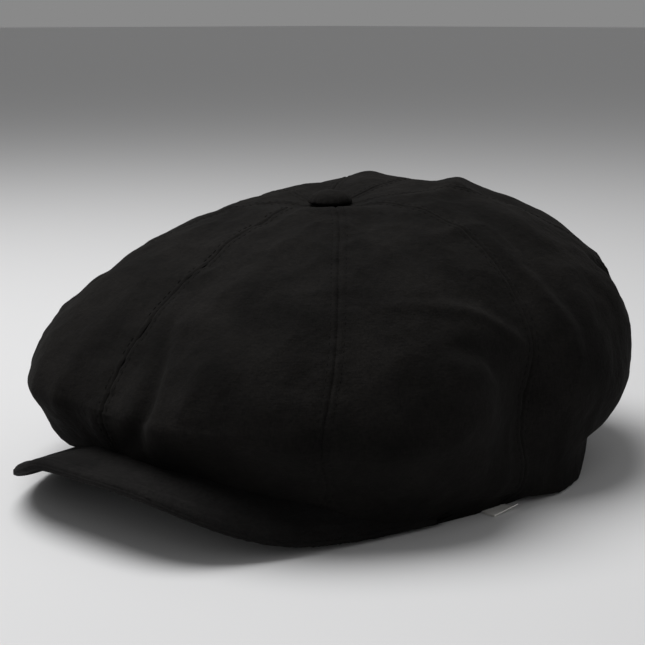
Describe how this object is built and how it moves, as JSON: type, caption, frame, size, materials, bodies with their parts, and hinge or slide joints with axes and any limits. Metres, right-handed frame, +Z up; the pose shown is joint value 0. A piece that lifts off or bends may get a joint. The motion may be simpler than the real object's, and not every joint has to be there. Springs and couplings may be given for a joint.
{
  "type": "newsboy cap",
  "caption": "Full-crowned newsboy cap in black washed cotton: panelled crown with a covered button on top, short stiff visor, lining and sweatband.",
  "frame": {"origin": "centre of the head opening, on the surface the cap rests on", "axes": "+Z up through the button, -Y towards the visor's front edge, +X the wearer's left"},
  "size_m": [0.2138, 0.2632, 0.1126],
  "materials": {
    "shell_cloth": "matte washed cotton",
    "lining_satin": "soft satin",
    "sweatband_ribbon": "ribbed matte",
    "visor_board": "matte",
    "button_metal": "satin",
    "label_ribbon": "matte"
  },
  "bodies": {
    "crown": {"crown_panel_front_left": "shell_cloth", "crown_panel_side_front_left": "shell_cloth", "crown_panel_side_back_left": "shell_cloth", "crown_panel_back_left": "shell_cloth", "crown_panel_back_right": "shell_cloth", "crown_panel_side_back_right": "shell_cloth", "crown_panel_side_front_right": "shell_cloth", "crown_panel_front_right": "shell_cloth", "lining_front_left": "lining_satin", "lining_side_front_left": "lining_satin", "lining_side_back_left": "lining_satin", "lining_back_left": "lining_satin", "lining_back_right": "lining_satin", "lining_side_back_right": "lining_satin", "lining_side_front_right": "lining_satin", "lining_front_right": "lining_satin", "sweatband": "sweatband_ribbon", "button_cover": "shell_cloth", "button_shell": "button_metal", "button_back_plate": "button_metal", "button_clinch_washer": "button_metal"},
    "visor": {"visor_board": "visor_board", "visor_top_cover": "shell_cloth", "visor_under_cover": "shell_cloth"},
    "label": {"care_label": "label_ribbon"}
  },
  "joints": [
    {"name": "visor_flex", "type": "hinge", "parent": "crown", "child": "visor", "pos_m": [0, -0.047, 0.006], "axis": [-1, 0, 0], "range_deg": [-10, 1], "stiffness_Nm_per_rad": 0.6},
    {"name": "label_flap", "type": "hinge", "parent": "crown", "child": "label", "pos_m": [0.0893, -0.0047, 0.0002], "axis": [0.0523, 0.9986, 0], "range_deg": [0, 80], "stiffness_Nm_per_rad": 0.0001}
  ]
}
